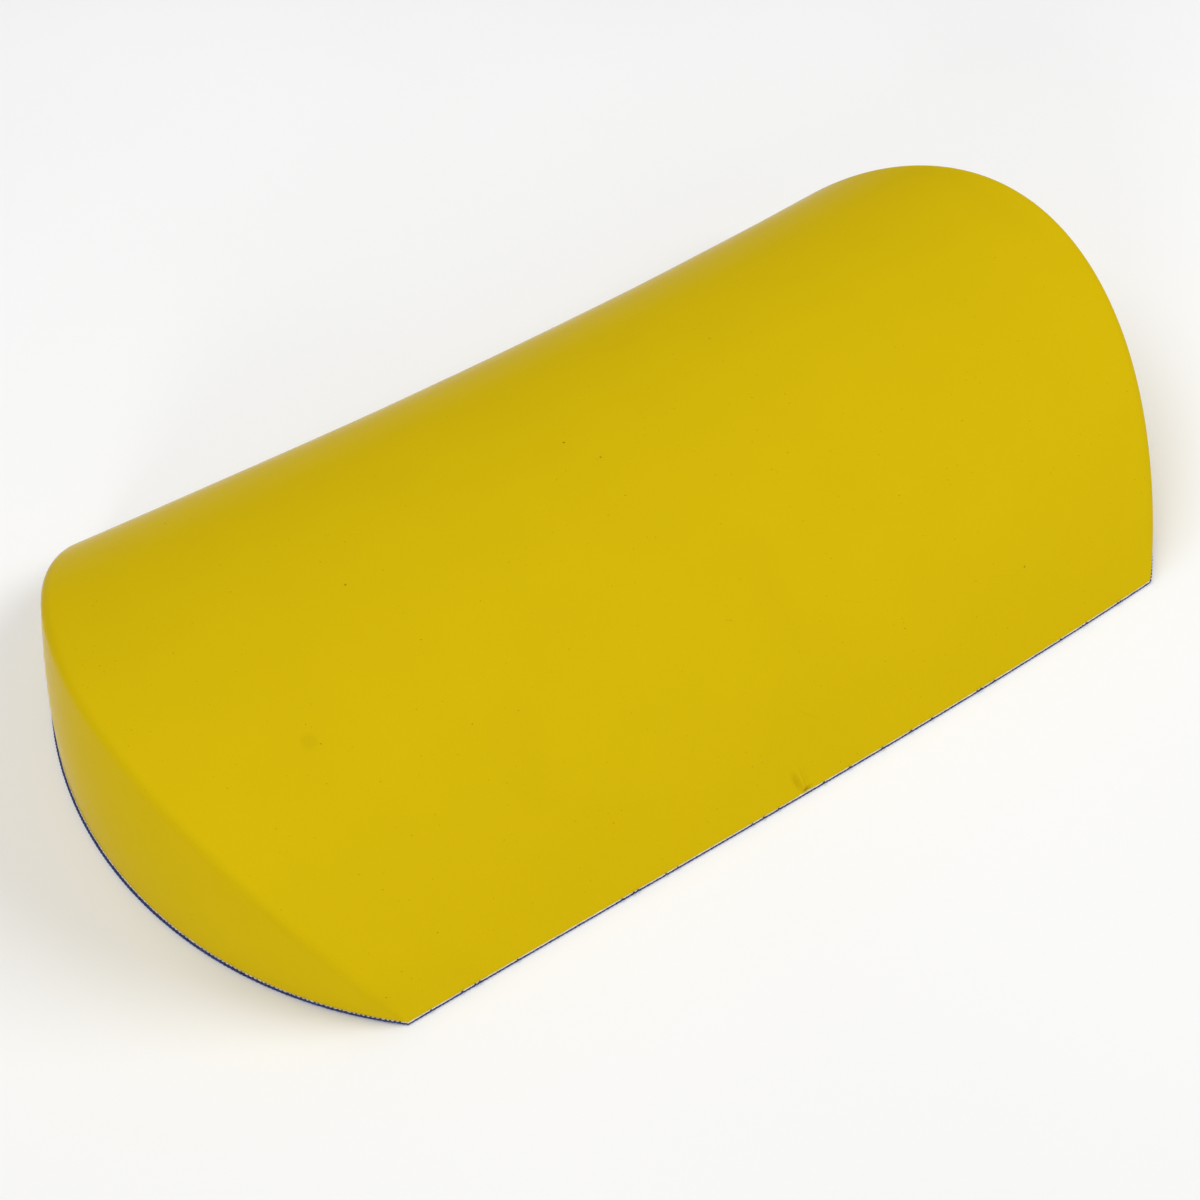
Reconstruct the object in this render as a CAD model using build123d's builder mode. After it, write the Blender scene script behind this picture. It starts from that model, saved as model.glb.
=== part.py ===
"""Half-round wheel stop: a moulded block with a crescent at each end and a cloth sole.

Frame, in millimetres: X along the block, Y across it, Z up. The origin is on the floor,
in the middle of the sole.
"""

from build123d import *
import math
import os

# Driving dimensions
height = 100.0  # floor to crest
width = 338.0  # across the sole
corner_length = 438.0  # between the two corners of one long side
skin_bulge = 74.8  # how far each end of the moulding bows out past the corners
felt_bulge = 75.2  # and the felt, which shows past the moulding
cloth_bulge = 76.0  # and the cloth, which shows past the felt
end_draft = 9.5  # degrees that each end face leans in towards the crest
ridge_radius = 6.0  # rounding between the crown and an end face
skin_thickness = 4.0
cloth_thickness = 1.2
felt_thickness = 0.8
plug_diameter = 8.0
plug_length = 12.0
plug_x = -202.0  # the plug's place along the block
plug_y = -67.0  # and its place across it

# Worked out from them
sole_thickness = cloth_thickness + felt_thickness
crown_height = height - sole_thickness
half_width = width / 2
half_length = corner_length / 2 + cloth_bulge
crown_radius = (half_width**2 + crown_height**2) / (2 * crown_height)
crown_centre = height - crown_radius
overlap = 20.0  # how far a cutting shape runs past what it cuts


def crown_section(inset):
    """The D-shaped cross section, standing on the sole and drawn in by inset."""
    radius = crown_radius - inset
    half_chord = math.sqrt(radius**2 - (sole_thickness - crown_centre) ** 2)
    with BuildSketch(Plane.YZ) as section:
        with BuildLine():
            crown = ThreePointArc(
                (-half_chord, sole_thickness),
                (0, height - inset),
                (half_chord, sole_thickness),
            )
            Line(crown @ 1, crown @ 0)
        make_face()
    return section.sketch


def plan_outline(plane, half_span, bulge, inset=0.0):
    """Two straight sides, half_span off the middle, joined by an arc at each end.

    Each arc runs through two corners of the sole, bows out past them by bulge, and is then
    drawn in by inset.
    """
    full_radius = (half_width**2 + bulge**2) / (2 * bulge)
    radius = full_radius - inset
    centre = corner_length / 2 + bulge - full_radius
    corner_x = centre + math.sqrt(radius**2 - half_span**2)
    tip_x = centre + radius
    with BuildSketch(plane) as outline:
        with BuildLine():
            near_end = ThreePointArc((-corner_x, half_span), (-tip_x, 0), (-corner_x, -half_span))
            front = Line(near_end @ 1, (corner_x, -half_span))
            far_end = ThreePointArc(front @ 1, (tip_x, 0), (corner_x, half_span))
            Line(far_end @ 1, near_end @ 0)
        make_face()
    return outline.sketch


def half_round(inset):
    """The block's outer form, or what is left inside a skin of thickness inset."""
    cutter_span = half_width + overlap
    extrude(crown_section(inset), amount=half_length + overlap, both=True)
    extrude(
        plan_outline(Plane.XY.offset(sole_thickness), cutter_span, skin_bulge, inset),
        amount=crown_height + overlap,
        taper=end_draft,
        mode=Mode.INTERSECT,
    )


# The block's two forms: outside the skin, and inside it
with BuildPart() as outer_form:
    half_round(0)
    end_ridges = outer_form.edges().filter_by(
        lambda edge: abs((edge @ 0.5).X) > corner_length / 2 and (edge @ 0.5).Z > height / 2
    )
    fillet(end_ridges, radius=ridge_radius)

with BuildPart() as inner_form:
    half_round(skin_thickness)

# Fill plug: closes the hole that the mould was poured through, flush with the crown
plug_angle = math.asin(-plug_y / crown_radius)
plug_normal = Vector(0, -math.sin(plug_angle), math.cos(plug_angle))
plug_mouth = Vector(plug_x, plug_y, crown_centre + crown_radius * math.cos(plug_angle))
plug_top = Plane(plug_mouth + plug_normal * overlap, x_dir=(1, 0, 0), z_dir=plug_normal)

with BuildPart() as fill_plug:
    with BuildSketch(plug_top):
        Circle(plug_diameter / 2)
    extrude(amount=-(overlap + plug_length))
    add(outer_form.part, mode=Mode.INTERSECT)

# Outer skin: the tough yellow wall of the moulding, open over the sole
with BuildPart() as outer_skin:
    add(outer_form.part)
    add(inner_form.part, mode=Mode.SUBTRACT)
    add(fill_plug.part, mode=Mode.SUBTRACT)

# Foam core: the dense foam that fills the skin
with BuildPart() as foam_core:
    add(inner_form.part)
    add(fill_plug.part, mode=Mode.SUBTRACT)

# Backing felt: bonded to the underside of the skin and the core
with BuildPart() as backing_felt:
    extrude(
        plan_outline(Plane.XY.offset(cloth_thickness), half_width, felt_bulge),
        amount=felt_thickness,
    )

# Grip cloth: the woven sole that rests on the floor
with BuildPart() as grip_cloth:
    extrude(plan_outline(Plane.XY, half_width, cloth_bulge), amount=cloth_thickness)

pieces = {
    "outer_skin": outer_skin,
    "foam_core": foam_core,
    "fill_plug": fill_plug,
    "backing_felt": backing_felt,
    "grip_cloth": grip_cloth,
}

os.makedirs("parts", exist_ok=True)
for name, piece in pieces.items():
    piece.part.label = name
    export_step(piece.part, f"parts/{name}.step")
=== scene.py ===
"""Looks for the half-round wheel stop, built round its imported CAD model.

Frame, in metres: X along the block, Y across it, Z up. The origin is on the floor, in the
middle of the sole. The block is a soft moulding that has settled, so each piece here is
its CAD form after settle(): the crown sinks a little in the middle of its length, and the
whole block lies in a faint sideways bend. Nothing in it moves, so it has one body, root.
"""

import math
import random

import bmesh
import bpy
from mathutils import Matrix, Vector, kdtree, noise


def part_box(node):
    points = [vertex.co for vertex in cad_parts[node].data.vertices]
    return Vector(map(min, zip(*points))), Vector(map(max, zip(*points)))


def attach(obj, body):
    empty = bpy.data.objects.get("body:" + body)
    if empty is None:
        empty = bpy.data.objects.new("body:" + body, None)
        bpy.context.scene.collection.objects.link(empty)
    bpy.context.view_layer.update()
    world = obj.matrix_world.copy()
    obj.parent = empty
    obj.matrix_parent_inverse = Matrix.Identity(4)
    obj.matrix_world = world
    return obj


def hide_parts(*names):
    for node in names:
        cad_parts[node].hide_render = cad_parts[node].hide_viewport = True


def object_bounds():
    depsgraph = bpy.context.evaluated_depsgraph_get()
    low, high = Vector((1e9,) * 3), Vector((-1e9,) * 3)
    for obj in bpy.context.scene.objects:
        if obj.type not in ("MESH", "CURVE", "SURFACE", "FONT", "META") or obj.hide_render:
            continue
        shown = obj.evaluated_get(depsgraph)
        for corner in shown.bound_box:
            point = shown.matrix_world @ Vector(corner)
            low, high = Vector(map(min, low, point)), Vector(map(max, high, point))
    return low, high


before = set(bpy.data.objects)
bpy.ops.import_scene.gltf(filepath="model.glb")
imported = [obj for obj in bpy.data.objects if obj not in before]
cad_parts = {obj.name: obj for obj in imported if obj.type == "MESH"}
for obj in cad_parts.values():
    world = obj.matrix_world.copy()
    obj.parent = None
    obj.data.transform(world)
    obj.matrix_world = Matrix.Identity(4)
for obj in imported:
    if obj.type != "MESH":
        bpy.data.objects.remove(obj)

# Measures read from the frame
cad_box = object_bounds()
height = round(cad_box[1].z, 4)
half_width = round(cad_box[1].y, 4)
half_length = round(cad_box[1].x, 4)
felt_end = round(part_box("backing_felt")[1].x, 4)
skin_end = round(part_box("outer_skin")[1].x, 4)
sole_top = round(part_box("outer_skin")[0].z, 4)
cloth_top = round(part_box("grip_cloth")[1].z, 4)
skin_thickness = round(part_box("outer_skin")[1].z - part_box("foam_core")[1].z, 4)
plug_low, plug_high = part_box("fill_plug")

# The block's form
corner_x = 0.219  # from the middle of a long side to its corner
end_lean = math.radians(9.5)  # how far an end face leans in towards the crest
lean_power = 1.3  # above 1, the face stands steeper at the floor than at the ridge
ridge_radius = 0.006  # rounding between an end face and the crown
crown_height = height - sole_top
crown_radius = (half_width**2 + crown_height**2) / (2 * crown_height)
crown_centre = height - crown_radius

# How the soft block has settled
crown_sag = 0.0034  # the crest's dip in the middle of its length
sag_reach = 1.3  # where the crest stops dipping, in corner_x
sideways_bend = 0.0045  # the middle's shift towards the front
bend_skew = 0.0014  # more of that shift on the far half
side_draw = 0.0016  # how far each long side is drawn in at its middle
draw_skew = 0.0007  # less of that on the far half
crest_skew = 0.0056  # the crest's shift towards the back at the far corners
far_growth = 0.0049  # how far the far end has spread
swell = 0.00025  # slow unevenness of the moulded surface
swell_length = 0.075
noise.seed_set(5)  # without a seed the unevenness would differ from run to run

# The fill plug
plug_x = round((plug_low.x + plug_high.x) / 2, 4)
plug_y = -0.067
plug_radius = round((plug_high.x - plug_low.x) / 2, 4)
plug_length = 0.012
plug_angle = math.asin(-plug_y / crown_radius)

# Mesh steps
rows = 161
face_steps = 26
ridge_steps = 8
crown_steps = 180
weld = 0.00003

# Marks on the skin
lip = 0.0009  # height of the rounding at the foot of the skin
lip_tuck = 0.00025
pore_radius = 0.00025
pore_depth = 0.0004
pore_count = 67
large_pores = 7  # how many of them are larger than the rest
pinch_x = -0.005
pinch_rise = 0.007  # height of the pinch's middle, up the skin from its foot

# The sole's yarns
yarn_pitch = 0.0022
yarn_radius = 0.00048
edge_step = 0.00055


# ---------------------------------------------------------------- form and settling


def end_arc(tip):
    """Centre, on X, and radius of an end arc that runs through two corners and the tip."""
    bulge = tip - corner_x
    radius = (half_width**2 + bulge**2) / (2 * bulge)
    return tip - radius, radius


def settle(point):
    """Where a point of the straight CAD form lies on the settled block."""
    x, y, z = point
    along = x / corner_x
    lift = min(max((z - sole_top) / crown_height, 0.0), 1.0)
    dip = 1 - (along / sag_reach) ** 2
    bend = 1 - along**2
    across = y / half_width
    spread = far_growth * max(along, 0.0) * (1 - across**2)
    sideways = (sideways_bend + bend_skew * along) * bend
    drawn = (side_draw - draw_skew * along) * bend * across
    leaning = crest_skew * along * lift
    place = Vector((x + spread, y - sideways - drawn + leaning, z - crown_sag * dip * lift))
    drift = noise.noise_vector(Vector(point) / swell_length)
    return place + drift * swell * min(lift * 6, 1.0)


def end_reach(y, z, inset):
    """How far the end face lies from the middle of the block."""
    rise = max(z - sole_top, 0.0) / crown_height
    drawn_in = crown_height * math.tan(end_lean) * rise**lean_power
    centre, radius = end_arc(skin_end)
    radius -= inset + drawn_in
    return centre + math.sqrt(max(radius**2 - y**2, 0.0))


def end_profile(y, top, inset):
    """(x, z) of one slice's end, from the floor side up its face and over the ridge."""
    rise = top - sole_top
    reach = end_reach(y, top, inset)
    probe = min(0.3 * max(rise, 0.0001), 0.01)
    lean = math.atan((end_reach(y, top - probe, inset) - reach) / probe)
    half_turn = (math.pi / 2 - lean) / 2
    radius = min(ridge_radius - inset, 0.45 * rise / math.tan(half_turn))
    tangent = radius * math.tan(half_turn)
    face_top = top - tangent * math.cos(lean)
    points = []
    for step in range(face_steps):
        z = sole_top + (face_top - sole_top) * (step / face_steps) ** 1.4
        points.append((end_reach(y, z, inset), z))
    for step in range(ridge_steps + 1):
        angle = lean + (math.pi / 2 - lean) * step / ridge_steps
        x = reach - tangent + radius * math.cos(angle)
        points.append((x, top - radius + radius * math.sin(angle)))
    return points


def crown_angles(inset):
    """The angle of each row about the crown's axis, closer together towards the floor."""
    edge = math.acos((sole_top - crown_centre) / (crown_radius - inset))
    angles = []
    for row in range(rows):
        share = 2 * row / (rows - 1) - 1
        angles.append(edge * math.copysign(1 - (1 - abs(share)) ** 1.5, share))
    return angles


def crown_point(x, angle, inset):
    """A point of the crown, before settling. A negative angle is on the front half."""
    radius = crown_radius - inset
    return Vector((x, radius * math.sin(angle), crown_centre + radius * math.cos(angle)))


def block_grid(inset):
    """Rows of points over the block, each from the far foot over the crown to the near one."""
    grid = []
    for angle in crown_angles(inset):
        _, y, top = crown_point(0, angle, inset)
        top = max(top, sole_top)
        far_end = end_profile(y, top, inset)
        crown_end = far_end[-1][0]
        line = [Vector((x, y, z)) for x, z in far_end]
        for step in range(1, crown_steps):
            line.append(Vector((crown_end * (1 - 2 * step / crown_steps), y, top)))
        line += [Vector((-x, y, z)) for x, z in reversed(far_end)]
        grid.append(line)
    return grid


def bore_point(turn, radius, depth):
    """A point of the plug's bore: depth below its mouth, at an angle about its axis."""
    mouth = crown_point(plug_x, -plug_angle, 0)
    out = Vector((0, -math.sin(plug_angle), math.cos(plug_angle)))
    side = Vector((0, math.cos(plug_angle), math.sin(plug_angle)))
    round_it = Vector((math.cos(turn), 0, 0)) + side * math.sin(turn)
    return mouth + round_it * radius - out * depth


def bore_crown_point(turn, radius, inset):
    """The point of the crown at a distance and direction from the plug's middle."""
    angle = -plug_angle + radius * math.sin(turn) / (crown_radius - inset)
    return crown_point(plug_x + radius * math.cos(turn), angle, inset)


# ---------------------------------------------------------------- mesh helpers


def add_verts(mesh, points):
    return [mesh.verts.new(point) for point in points]


def add_face(mesh, corners):
    """A face on its distinct corners, or none where fewer than three are left."""
    distinct = list(dict.fromkeys(corners))
    if len(distinct) > 2:
        mesh.faces.new(distinct)


def add_strip(mesh, ring, next_ring, closed=True):
    """Quads between two rings of equal length."""
    count = len(ring)
    for i in range(count if closed else count - 1):
        j = (i + 1) % count
        add_face(mesh, (ring[i], ring[j], next_ring[j], next_ring[i]))


def grid_rim(grid):
    """The outer ring of a grid, in order round its foot."""
    front = list(grid[0])
    near = [line[-1] for line in grid[1:]]
    back = list(reversed(grid[-1]))[1:]
    far = [line[0] for line in reversed(grid[1:-1])]
    return front + near + back + far


def patch_range(grid, inset):
    """First and last row and column of the square of cells that the plug's hole opens."""
    reach = 2.6 * plug_radius
    angles = crown_angles(inset)
    arc = [abs(a + plug_angle) * crown_radius for a in angles]
    near_rows = [i for i in range(rows) if arc[i] < reach]
    middle = grid[near_rows[len(near_rows) // 2]]
    near_columns = [
        j
        for j in range(face_steps + ridge_steps + 1, len(middle) - face_steps - ridge_steps - 1)
        if abs(middle[j].x - plug_x) < reach
    ]
    return near_rows[0], near_rows[-1], near_columns[0], near_columns[-1]


def punched_surface(mesh, grid, window, inset):
    """The grid's surface with a round hole for the plug. Returns its foot and hole rings."""
    first_row, last_row, first_column, last_column = window
    verts = [add_verts(mesh, (settle(p) for p in line)) for line in grid]
    for i in range(len(grid) - 1):
        for j in range(len(grid[0]) - 1):
            if first_row <= i < last_row and first_column <= j < last_column:
                continue
            quad = (verts[i][j], verts[i + 1][j], verts[i + 1][j + 1], verts[i][j + 1])
            add_face(mesh, quad)
    for line in verts[first_row + 1 : last_row]:
        for vert in line[first_column + 1 : last_column]:
            mesh.verts.remove(vert)
    square = [(first_row, j) for j in range(first_column, last_column)]
    square += [(i, last_column) for i in range(first_row, last_row)]
    square += [(last_row, j) for j in range(last_column, first_column, -1)]
    square += [(i, first_column) for i in range(last_row, first_row, -1)]
    angles = crown_angles(inset)
    radius = crown_radius - inset
    ring = [verts[i][j] for i, j in square]
    levels = 4
    for level in range(1, levels + 1):
        share = level / levels
        points = []
        for i, j in square:
            along = grid[i][j].x - plug_x
            arc = (angles[i] + plug_angle) * radius
            distance = math.hypot(along, arc)
            turn = math.atan2(arc, along)
            here = distance + (plug_radius - distance) * share
            points.append(settle(bore_crown_point(turn, here, inset)))
        next_ring = add_verts(mesh, points)
        add_strip(mesh, ring, next_ring)
        ring = next_ring
    turns = [
        math.atan2((angles[i] + plug_angle) * radius, grid[i][j].x - plug_x) for i, j in square
    ]
    return grid_rim(verts), ring, turns


def finish_mesh(mesh, name, sharp_angle=math.radians(38)):
    """An object from the mesh: welded, facing outwards, smooth but for its sharp edges."""
    bmesh.ops.remove_doubles(mesh, verts=mesh.verts, dist=weld)
    bmesh.ops.recalc_face_normals(mesh, faces=mesh.faces)
    for face in mesh.faces:
        face.smooth = True
    for edge in mesh.edges:
        if len(edge.link_faces) == 2 and edge.calc_face_angle(0) > sharp_angle:
            edge.smooth = False
    data = bpy.data.meshes.new(name)
    mesh.to_mesh(data)
    mesh.free()
    piece = bpy.data.objects.new(name, data)
    bpy.context.scene.collection.objects.link(piece)
    return piece


def belongs(piece, slot, material, *nodes):
    """Puts a piece in the model: its body and its material, and hides its CAD nodes. The slot argument is
    not used.
    """
    piece.data.materials.append(material)
    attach(piece, "root")
    if nodes:
        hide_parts(*nodes)
    return piece


# ---------------------------------------------------------------- the moulded block


def round_the_lip(mesh):
    """Tucks in the foot of the skin, as it leaves the mould's rim."""
    mesh.normal_update()
    moves = []
    for vert in mesh.verts:
        rise = vert.co.z - sole_top
        out = Vector((vert.normal.x, vert.normal.y, 0))
        if vert[mesh.verts.layers.int["outside"]] and rise < lip and out.length > 0.01:
            moves.append((vert, -out.normalized() * lip_tuck * (1 - rise / lip) ** 2))
    for vert, move in moves:
        vert.co += move


def divide(mesh, faces, cuts):
    """Cuts each edge of the faces into equal parts. Returns the vertices made inside them."""
    edges = list({edge for face in faces for edge in face.edges})
    made = bmesh.ops.subdivide_edges(mesh, edges=edges, cuts=cuts, use_grid_fill=True)
    return [item for item in made["geom_inner"] if isinstance(item, bmesh.types.BMVert)]


def press_pores(mesh, pit_shade_layer):
    """Small pits where bubbles met the mould, each in the face nearest to its place. Each pit also gets a
    weight for painted shade, which darkens the colour inside it.
    """
    chance = random.Random(11)
    spots = []
    for i in range(pore_count):
        x = chance.uniform(-0.24, 0.25)
        angle = chance.uniform(-1.0, 0.9)
        size = chance.uniform(1.1, 1.7) if i < large_pores else chance.uniform(0.5, 0.9)
        spots.append((x, angle, size))
    layer = mesh.verts.layers.int["outside"]
    outer = [face for face in mesh.faces if all(vert[layer] for vert in face.verts)]
    tree = kdtree.KDTree(len(outer))
    for i, face in enumerate(outer):
        tree.insert(face.calc_center_median(), i)
    tree.balance()
    sizes = {}
    for x, angle, size in spots:
        _, i, _ = tree.find(settle(crown_point(x, angle, 0)))
        if len(outer[i].verts) == 4:
            sizes[i] = size
    for i, size in sizes.items():
        face = outer[i]
        if not face.is_valid or len(face.verts) != 4:
            continue
        middle = face.calc_center_median()
        normal = face.normal.copy()
        for vert in divide(mesh, [face], 9):
            share = hump((vert.co - middle).length, pore_radius * size)
            vert.co -= normal * pore_depth * size * share
            # painted shade: the pit's depth share darkens its colour, standing in for the shade inside the
            # pit
            vert[pit_shade_layer] = share


def hump(distance, width):
    return math.exp(-((distance / width) ** 2))


def pinch_the_edge(mesh):
    """A small fold at the front foot, where the skin was nipped as it left the mould. Its crease also gets
    painted shade, a darkening of the colour.
    """
    foot = settle(crown_point(pinch_x, crown_angles(0)[0], 0))
    layer = mesh.verts.layers.int["outside"]
    crease_shade_layer = mesh.verts.layers.float["painted_pit_and_crease_shade"]
    near = [
        face
        for face in mesh.faces
        if all(vert[layer] for vert in face.verts)
        and (face.calc_center_median() - foot).length < 0.017
    ]
    divide(mesh, near, 5)
    mesh.normal_update()
    moves = []
    for vert in mesh.verts:
        if (vert.co - foot).length > 0.024 or not vert[layer]:
            continue
        up = math.hypot(vert.co.z - foot.z, vert.co.y - foot.y)
        along = vert.co.x - foot.x + 0.1 * (up - pinch_rise)
        height = hump(up - pinch_rise, 0.0055)
        fold = 0.001 * hump(along, 0.0015) - 0.0011 * hump(along + 0.0026, 0.0011)
        fold -= 0.0005 * hump(along - 0.0026, 0.0012)
        nip = 0.0013 * hump(along - 0.0012, 0.003) * hump(up - 0.0014, 0.0011)
        moves.append((vert, vert.normal * (fold * height - nip)))
        # painted shade: darkens the colour in the crease at the foot of the fold
        vert[crease_shade_layer] = 0.45 * hump(along - 0.0005, 0.0019) * hump(up - 0.0009, 0.0006)
    for vert, move in moves:
        vert.co += move


def make_skin(material):
    """The yellow wall: outer and inner surface, the rim under it and the plug's hole."""
    mesh = bmesh.new()
    outside = mesh.verts.layers.int.new("outside")
    # a weight for painted shade, darkening the colour in the pits and in the fold's crease
    painted_pit_and_crease_shade = mesh.verts.layers.float.new("painted_pit_and_crease_shade")
    outer_grid = block_grid(0)
    window = patch_range(outer_grid, 0)
    outer_foot, outer_hole, _ = punched_surface(mesh, outer_grid, window, 0)
    for vert in mesh.verts:
        vert[outside] = 1
    inner_grid = block_grid(skin_thickness)
    inner_foot, inner_hole, _ = punched_surface(mesh, inner_grid, window, skin_thickness)
    add_strip(mesh, outer_foot, inner_foot)
    add_strip(mesh, outer_hole, inner_hole)
    bmesh.ops.remove_doubles(mesh, verts=mesh.verts, dist=weld)
    bmesh.ops.recalc_face_normals(mesh, faces=mesh.faces)
    round_the_lip(mesh)
    press_pores(mesh, painted_pit_and_crease_shade)
    pinch_the_edge(mesh)
    skin = finish_mesh(mesh, "yellow_skin")
    return belongs(skin, "skin", material, "outer_skin")


def make_core(material):
    """The foam that fills the skin, with the blind end of the plug's bore."""
    mesh = bmesh.new()
    grid = block_grid(skin_thickness)
    window = patch_range(block_grid(0), 0)
    foot, hole, turns = punched_surface(mesh, grid, window, skin_thickness)
    bottom = add_verts(mesh, (settle(bore_point(turn, plug_radius, plug_length)) for turn in turns))
    add_strip(mesh, hole, bottom)
    add_face(mesh, bottom)
    bmesh.ops.remove_doubles(mesh, verts=mesh.verts, dist=weld)
    foot_edges = [edge for edge in mesh.edges if edge.is_boundary]
    bmesh.ops.holes_fill(mesh, edges=foot_edges)
    core = finish_mesh(mesh, "moulded_foam")
    belongs(core, "core", material, "foam_core")
    return core


def make_plug(material):
    """The plug in the fill hole: a crowned disc, flush with the skin, on a plain shank."""
    mesh = bmesh.new()
    sides = 48
    bevel = 0.00005
    radius = plug_radius - 0.00001
    turns = [2 * math.pi * i / sides for i in range(sides)]
    middle = mesh.verts.new(settle(bore_crown_point(0, 0, 0)))
    ring = None
    for share in (0.2, 0.4, 0.6, 0.8, 0.93, 1.0):
        here = share * (radius - bevel)
        next_ring = add_verts(mesh, (settle(bore_crown_point(t, here, 0)) for t in turns))
        if ring is None:
            for i in range(sides):
                add_face(mesh, (middle, next_ring[i], next_ring[(i + 1) % sides]))
        else:
            add_strip(mesh, ring, next_ring)
        ring = next_ring
    out = Vector((0, -math.sin(plug_angle), math.cos(plug_angle)))
    edge = [settle(bore_crown_point(t, radius, 0) - out * bevel) for t in turns]
    foot = [settle(bore_point(t, radius, plug_length)) for t in turns]
    for points in (edge, foot):
        next_ring = add_verts(mesh, points)
        add_strip(mesh, ring, next_ring)
        ring = next_ring
    add_face(mesh, ring)
    plug = finish_mesh(mesh, "flush_plug")
    return belongs(plug, "plug", material, "fill_plug")


# ---------------------------------------------------------------- the laminated sole


def straight_outline(tip):
    """A sheet's long sides and end arcs as (x, y, on an end), evenly spaced, before settling."""
    centre, radius = end_arc(tip)
    half_arc = math.asin(half_width / radius)
    side_count = round(2 * corner_x / edge_step)
    arc_count = round(2 * half_arc * radius / edge_step)
    outline = []
    for end in (1, -1):
        for i in range(side_count):
            outline.append((end * corner_x * (2 * i / side_count - 1), -end * half_width, False))
        for i in range(arc_count):
            turn = half_arc * (2 * i / arc_count - 1)
            x = centre + radius * math.cos(turn)
            outline.append((end * x, end * radius * math.sin(turn), True))
    return outline


def outline_frame(outline, z):
    """Each outline point on the settled block, with its outward direction."""
    places = [settle((x, y, sole_top)) for x, y, _ in outline]
    count = len(places)
    directions = []
    for i in range(count):
        ahead = places[(i + 1) % count] - places[i - 1]
        directions.append(Vector((ahead.y, -ahead.x, 0)).normalized())
    for place in places:
        place.z = z
    return places, directions


def sheet_mesh(tip, levels, proud):
    """A flat closed sheet. levels are (z, draw-in); proud(i) pushes edge point i outwards."""
    mesh = bmesh.new()
    outline = straight_outline(tip)
    rings = []
    for z, draw_in in levels:
        places, directions = outline_frame(outline, z)
        points = [
            place + out * (proud(i) - draw_in)
            for i, (place, out) in enumerate(zip(places, directions))
        ]
        rings.append(add_verts(mesh, points))
    for ring, next_ring in zip(rings, rings[1:]):
        add_strip(mesh, ring, next_ring)
    for ring in (rings[0], rings[-1]):
        face = mesh.faces.new(ring)
        bmesh.ops.triangulate(mesh, faces=[face])
    return mesh


def make_felt(material):
    """The pale backing, bonded under the skin, with a soft cut edge."""
    chance = random.Random(5)
    tufts = [chance.uniform(-0.00012, 0.00008) for _ in range(len(straight_outline(felt_end)))]
    levels = (
        (cloth_top, 0.0002),
        (cloth_top + 0.0002, 0.0),
        (sole_top - 0.0002, 0.0),
        (sole_top, 0.0002),
    )
    felt = finish_mesh(sheet_mesh(felt_end, levels, lambda i: tufts[i]), "pale_felt")
    return belongs(felt, "felt", material, "backing_felt")


def make_cloth(material):
    """The navy woven sole, with the ends of its yarns along the cut edge."""
    steps_per_yarn = yarn_pitch / edge_step

    def yarn_ends(i):
        return 0.0002 + 0.0001 * math.cos(2 * math.pi * i / steps_per_yarn)

    levels = (
        (0.0, 0.0004),
        (0.0002, 0.0001),
        (cloth_top / 2, 0.0),
        (cloth_top - 0.0002, 0.0001),
        (cloth_top, 0.0003),
    )
    cloth = finish_mesh(sheet_mesh(half_length, levels, yarn_ends), "woven_sole")
    return belongs(cloth, "cloth", material, "grip_cloth")


def add_yarn(mesh, path, radius, sides=6):
    """A short round yarn along a path, closed at both ends."""
    rings = []
    for i, place in enumerate(path):
        ahead = path[min(i + 1, len(path) - 1)] - path[max(i - 1, 0)]
        turn = ahead.to_track_quat("Z", "Y").to_matrix()
        thin = 0.6 if i in (0, len(path) - 1) else 1.0
        points = []
        for side in range(sides):
            angle = 2 * math.pi * side / sides
            points.append(place + turn @ Vector((math.cos(angle), math.sin(angle), 0)) * radius * thin)
        rings.append(add_verts(mesh, points))
    for ring, next_ring in zip(rings, rings[1:]):
        add_strip(mesh, ring, next_ring)
    add_face(mesh, rings[0])
    add_face(mesh, rings[-1])


def make_edge_yarns(material):
    """Navy yarns that slant from the cloth up over the felt's edge: all along the ends, few on the sides."""
    mesh = bmesh.new()
    chance = random.Random(3)
    outline = straight_outline(felt_end)
    places, directions = outline_frame(outline, 0.0)
    step = round(yarn_pitch / edge_step)
    for start in range(0, len(outline) - step, step):
        _, y, on_end = outline[start]
        if not on_end and chance.random() > 0.16:
            continue
        ledge = (half_length - felt_end) * (1 - (y / half_width) ** 2) if on_end else 0.0
        slant = chance.uniform(0.3, 0.6)
        top = sole_top + chance.uniform(-0.0001, 0.0001)
        steps = (
            (0.0, 0.8 * ledge, cloth_top - 0.0002),
            (0.4, 0.3 * ledge + 0.0001, cloth_top + 0.0002),
            (0.7, 0.00025, cloth_top + 0.0006),
            (1.0, 0.0002, top),
        )
        path = []
        for share, proud, z in steps:
            at = start + min(round(slant * share * step), step)
            path.append(places[at] + directions[at] * proud + Vector((0, 0, z)))
        add_yarn(mesh, path, yarn_radius * chance.uniform(0.85, 1.1))
    yarns = finish_mesh(mesh, "edge_yarns")
    return belongs(yarns, "cloth", material)


# ---------------------------------------------------------------- materials


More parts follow.
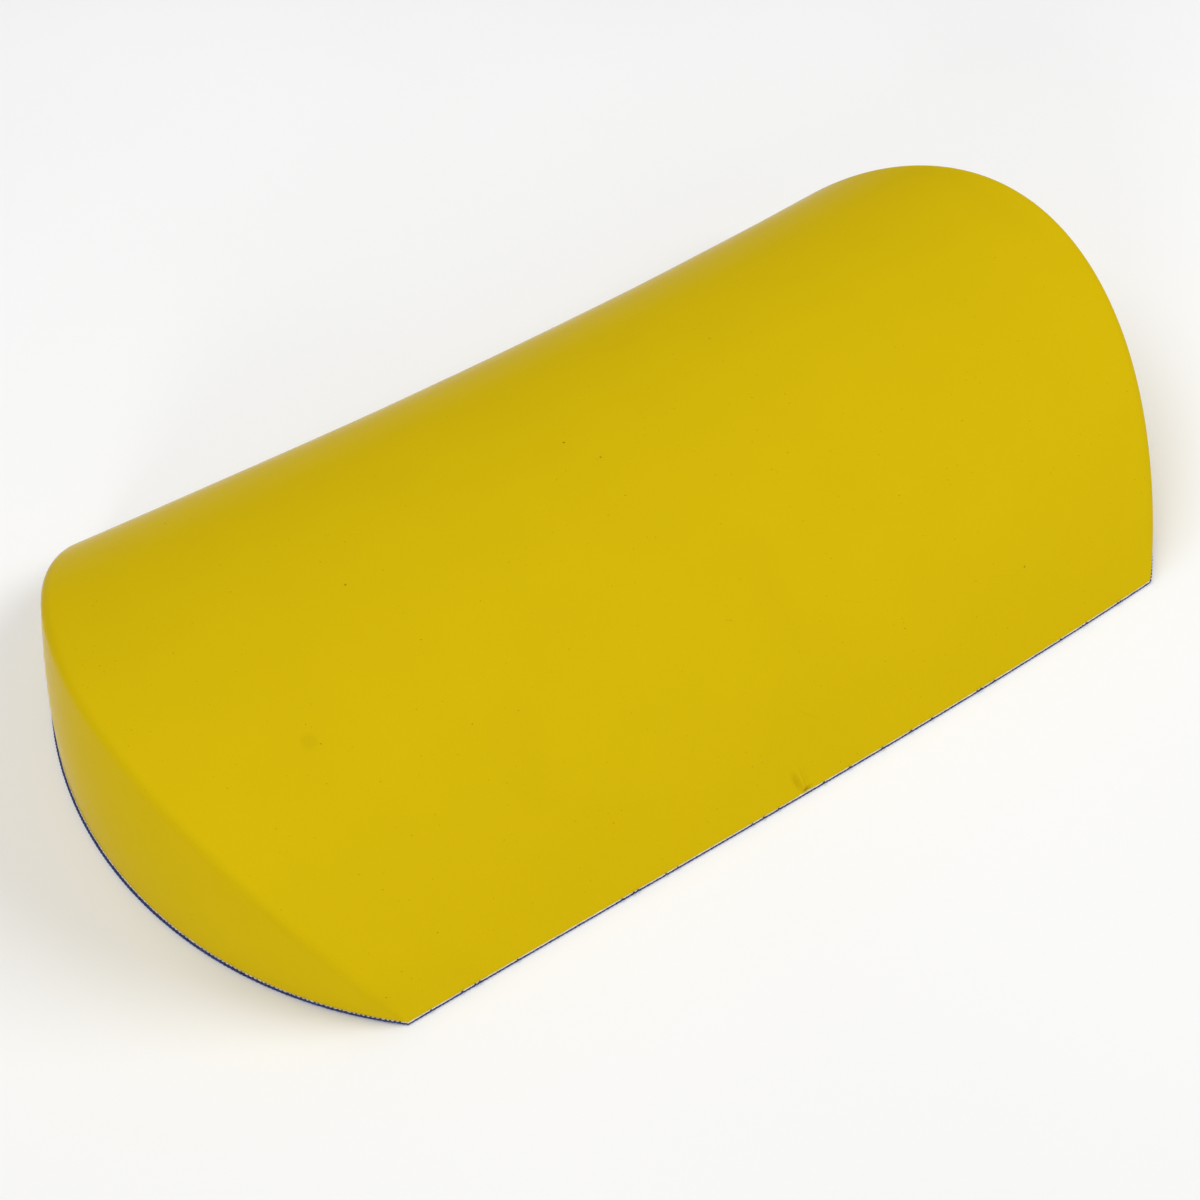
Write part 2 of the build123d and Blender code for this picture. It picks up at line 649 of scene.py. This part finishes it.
class Graph:
    """Short calls for the nodes of one material."""

    def __init__(self, name):
        self.material = bpy.data.materials.new(name)
        self.material.use_nodes = True
        tree = self.material.node_tree
        self.nodes = tree.nodes
        self.links = tree.links
        self.shader = tree.nodes["Principled BSDF"]
        self.place = self.nodes.new("ShaderNodeTexCoord").outputs["Object"]

    def put(self, socket, value):
        if isinstance(value, bpy.types.NodeSocket):
            self.links.new(value, socket)
        else:
            socket.default_value = value

    def stretched(self, scale):
        node = self.nodes.new("ShaderNodeMapping")
        self.links.new(self.place, node.inputs["Vector"])
        node.inputs["Scale"].default_value = scale
        return node.outputs["Vector"]

    def noise(self, scale, detail=2.0, place=None, distortion=0.0):
        node = self.nodes.new("ShaderNodeTexNoise")
        self.links.new(place or self.place, node.inputs["Vector"])
        node.inputs["Scale"].default_value = scale
        node.inputs["Detail"].default_value = detail
        node.inputs["Distortion"].default_value = distortion
        return node.outputs["Fac"]

    def cells(self, scale, feature="F1"):
        node = self.nodes.new("ShaderNodeTexVoronoi")
        node.feature = feature
        self.links.new(self.place, node.inputs["Vector"])
        node.inputs["Scale"].default_value = scale
        return node.outputs["Distance"]

    def distance(self, point):
        """How far each place is from one point."""
        node = self.nodes.new("ShaderNodeVectorMath")
        node.operation = "DISTANCE"
        self.links.new(self.place, node.inputs[0])
        node.inputs[1].default_value = point
        return node.outputs["Value"]

    def axes(self, place=None):
        node = self.nodes.new("ShaderNodeSeparateXYZ")
        self.links.new(place or self.place, node.inputs["Vector"])
        return node.outputs["X"], node.outputs["Y"], node.outputs["Z"]

    def attribute(self, name):
        node = self.nodes.new("ShaderNodeAttribute")
        node.attribute_name = name
        return node.outputs["Fac"]

    def math(self, operation, first, second=0.0):
        node = self.nodes.new("ShaderNodeMath")
        node.operation = operation
        self.put(node.inputs[0], first)
        self.put(node.inputs[1], second)
        return node.outputs["Value"]

    def span(self, value, low, high, to_low=0.0, to_high=1.0):
        node = self.nodes.new("ShaderNodeMapRange")
        self.put(node.inputs["Value"], value)
        node.inputs["From Min"].default_value = low
        node.inputs["From Max"].default_value = high
        node.inputs["To Min"].default_value = to_low
        node.inputs["To Max"].default_value = to_high
        return node.outputs["Result"]

    def blend(self, share, first, second):
        node = self.nodes.new("ShaderNodeMix")
        node.data_type = "RGBA"
        self.put(node.inputs["Factor"], share)
        self.put(node.inputs[6], first)
        self.put(node.inputs[7], second)
        return node.outputs[2]

    def bump(self, height_map, depth, normal=None):
        node = self.nodes.new("ShaderNodeBump")
        node.inputs["Distance"].default_value = depth
        self.links.new(height_map, node.inputs["Height"])
        if normal is not None:
            self.links.new(normal, node.inputs["Normal"])
        return node.outputs["Normal"]

    def finish(self, colour, roughness, normal, **constants):
        self.put(self.shader.inputs["Base Color"], colour)
        self.put(self.shader.inputs["Roughness"], roughness)
        self.links.new(normal, self.shader.inputs["Normal"])
        for name, value in constants.items():
            self.shader.inputs[name.replace("_", " ")].default_value = value
        return self.material


def yellow_colour(graph):
    """The moulding's yellow: slow mottling, faint stains, fine grain and tiny dark specks."""
    mottle = graph.span(graph.noise(22, 3), 0.35, 0.65)
    colour = graph.blend(mottle, (0.598, 0.427, 0.0032, 1), (0.588, 0.42, 0.0032, 1))
    stain = graph.span(graph.noise(13, 4, distortion=0.8), 0.6, 0.72, 0, 0.05)
    colour = graph.blend(stain, colour, (0.36, 0.23, 0.004, 1))
    grain = graph.span(graph.noise(1400, 1), 0.3, 0.7, 0, 0.08)
    colour = graph.blend(grain, colour, (0.46, 0.31, 0.002, 1))
    speck = graph.span(graph.cells(260), 0.03, 0.09, 0.7, 0)
    speck = graph.math("MULTIPLY", speck, graph.span(graph.noise(55, 2), 0.4, 0.65))
    return graph.blend(speck, colour, (0.16, 0.1, 0.01, 1))


def hair_scratches(graph, scale):
    """1 on a few thin straight broken lines, 0 elsewhere."""
    line = graph.span(graph.cells(scale, "DISTANCE_TO_EDGE"), 0.0, scale * 0.00014, 1, 0)
    where = graph.span(graph.noise(31, 1), 0.64, 0.7)
    return graph.math("MULTIPLY", line, where)


def yellow_material(name, moulding=True):
    """Satin polyurethane: the moulding's, with its pores, its scratches and painted shade in the pits and
    the fold's crease, or the plug's.
    """
    graph = Graph(name)
    colour = yellow_colour(graph)
    near_plug = graph.span(graph.distance(plug_middle), plug_radius * 0.65, plug_radius * 1.02, 0.09, 0)
    colour = graph.blend(near_plug, colour, (0.2, 0.12, 0.004, 1))
    peel = graph.noise(420, 2)
    fine = graph.noise(2600, 2)
    normal = graph.bump(peel, 0.00006)
    normal = graph.bump(fine, 0.00001, normal)
    if moulding:
        marks = hair_scratches(graph, 14)
        colour = graph.blend(graph.math("MULTIPLY", marks, 0.14), colour, (0.2, 0.13, 0.01, 1))
        normal = graph.bump(marks, 0.00002, normal)
        # painted shade: the pits and the fold's crease are darkened by the mesh's weight
        painted_pit_and_crease_shade = graph.attribute("painted_pit_and_crease_shade")
        colour = graph.blend(graph.math("MULTIPLY", painted_pit_and_crease_shade, 0.9), colour, (0.04, 0.025, 0.01, 1))
    roughness = graph.span(graph.noise(60, 3), 0.3, 0.7, 0.14, 0.2)
    return graph.finish(colour, roughness, normal, Specular_IOR_Level=0.003)


def foam_material():
    graph = Graph("closed_cell_foam")
    cells = graph.cells(900)
    colour = graph.blend(graph.span(cells, 0.2, 0.8), (0.62, 0.5, 0.16, 1), (0.5, 0.38, 0.1, 1))
    return graph.finish(colour, graph.span(cells, 0, 1, 0.75, 0.95), graph.bump(cells, 0.0003))


def felt_material():
    graph = Graph("cream_needled_felt")
    fibre = graph.noise(900, 3, graph.stretched((1, 1, 3)), 1.5)
    tuft = graph.noise(260, 2)
    colour = graph.blend(graph.span(fibre, 0.3, 0.7), (0.55, 0.5, 0.37, 1), (0.9, 0.86, 0.7, 1))
    colour = graph.blend(graph.span(tuft, 0.35, 0.7, 0, 0.4), colour, (0.3, 0.26, 0.2, 1))
    return graph.finish(colour, 0.95, graph.bump(fibre, 0.0002), Sheen_Weight=0.15)


def woven(graph, pitch):
    """Height of a plain weave: 1 on top of a yarn, 0 between yarns."""
    x, y, _ = graph.axes()
    warp = graph.math("SINE", graph.math("MULTIPLY", x, 2 * math.pi / pitch))
    weft = graph.math("SINE", graph.math("MULTIPLY", y, 2 * math.pi / pitch))
    return graph.span(graph.math("MULTIPLY", warp, weft), -1, 1)


def navy_material(name):
    graph = Graph(name)
    weave = woven(graph, 2 * yarn_pitch)
    fuzz = graph.noise(3000, 3)
    patch = graph.noise(150, 2)
    colour = graph.blend(weave, (0.012, 0.02, 0.09, 1), (0.03, 0.052, 0.24, 1))
    colour = graph.blend(graph.span(fuzz, 0.55, 0.8, 0, 0.35), colour, (0.09, 0.12, 0.3, 1))
    colour = graph.blend(graph.span(patch, 0.4, 0.8, 0, 0.4), colour, (0.012, 0.014, 0.04, 1))
    normal = graph.bump(weave, 0.0004)
    normal = graph.bump(fuzz, 0.00008, normal)
    return graph.finish(colour, 0.85, normal, Sheen_Weight=0.1)


def floor_material():
    graph = Graph("pale_floor")
    cloud = graph.noise(3, 2)
    colour = graph.blend(graph.span(cloud, 0.3, 0.7), (0.88, 0.88, 0.88, 1), (0.9, 0.9, 0.9, 1))
    return graph.finish(colour, 0.8, graph.bump(graph.noise(120, 2), 0.0001), Specular_IOR_Level=0.0)


# ---------------------------------------------------------------- the set


def make_floor():
    """A wide pale floor, a hair below the sole so that their faces don't meet."""
    mesh = bmesh.new()
    bmesh.ops.create_circle(mesh, cap_ends=True, segments=96, radius=60.0)
    for vert in mesh.verts:
        vert.co.z = -0.00005
    floor = finish_mesh(mesh, "floor")
    floor.data.materials.append(floor_material())


def make_lamp(name, place, size, energy):
    """A soft round lamp aimed at the block. It lights matt surfaces and isn't mirrored in gloss."""
    data = bpy.data.lights.new(name, "AREA")
    data.shape = "DISK"
    data.size = size
    data.energy = energy
    lamp = bpy.data.objects.new(name, data)
    lamp.location = place
    lamp.visible_glossy = False
    lamp.rotation_mode = "QUATERNION"
    lamp.rotation_quaternion = (Vector((0, 0, 0.05)) - lamp.location).to_track_quat("-Z", "Y")
    bpy.context.scene.collection.objects.link(lamp)


def make_light():
    """Even soft light: a dim sky that the camera sees as pale, and three large lamps."""
    world = bpy.data.worlds.new("pale_sky")
    bpy.context.scene.world = world
    world.use_nodes = True
    nodes = world.node_tree.nodes
    links = world.node_tree.links
    sky = nodes["Background"]
    rays = nodes.new("ShaderNodeLightPath")
    strength = nodes.new("ShaderNodeMapRange")
    strength.inputs["To Min"].default_value = 0.37
    strength.inputs["To Max"].default_value = 0.88
    links.new(rays.outputs["Is Camera Ray"], strength.inputs["Value"])
    links.new(strength.outputs["Result"], sky.inputs["Strength"])
    sky.inputs["Color"].default_value = (1, 1, 1, 1)
    make_lamp("back_left_lamp", (-0.56, 0.57, 1.83), 1.6, 16.3)
    make_lamp("front_left_lamp", (-2.14, -1.95, 0.62), 1.1, 27.8)
    make_lamp("right_lamp", (1.94, -1.07, 2.03), 1.8, 44.0)


def make_camera():
    """The camera at the photograph's viewing angle."""
    pitch = math.radians(50.43)
    yaw = math.radians(-31.7)
    roll = math.radians(2.52)
    back = Vector(
        (math.sin(yaw) * math.cos(pitch), -math.cos(yaw) * math.cos(pitch), math.sin(pitch))
    )
    level = Vector((math.cos(yaw), math.sin(yaw), 0))
    upright = back.cross(level)
    right = level * math.cos(roll) - upright * math.sin(roll)
    up = back.cross(right)
    data = bpy.data.cameras.new("camera")
    data.sensor_width = 36
    data.lens = 56.25
    data.shift_x = -0.0123
    data.clip_start = 0.05
    camera = bpy.data.objects.new("camera", data)
    turn = Matrix((right, up, back)).transposed().to_4x4()
    camera.matrix_world = Matrix.Translation((-0.3359, -0.5444, 0.745)) @ turn
    bpy.context.scene.collection.objects.link(camera)
    bpy.context.scene.camera = camera


plug_middle = settle(bore_crown_point(0, 0, 0))
bpy.context.scene.view_settings.view_transform = "Standard"
make_camera()
make_light()
make_floor()
make_skin(yellow_material("satin_yellow_moulding"))
make_core(foam_material())
make_plug(yellow_material("plug_yellow", moulding=False))
felt = make_felt(felt_material())
navy = navy_material("navy_weave")
cloth = make_cloth(navy)
yarns = make_edge_yarns(navy)
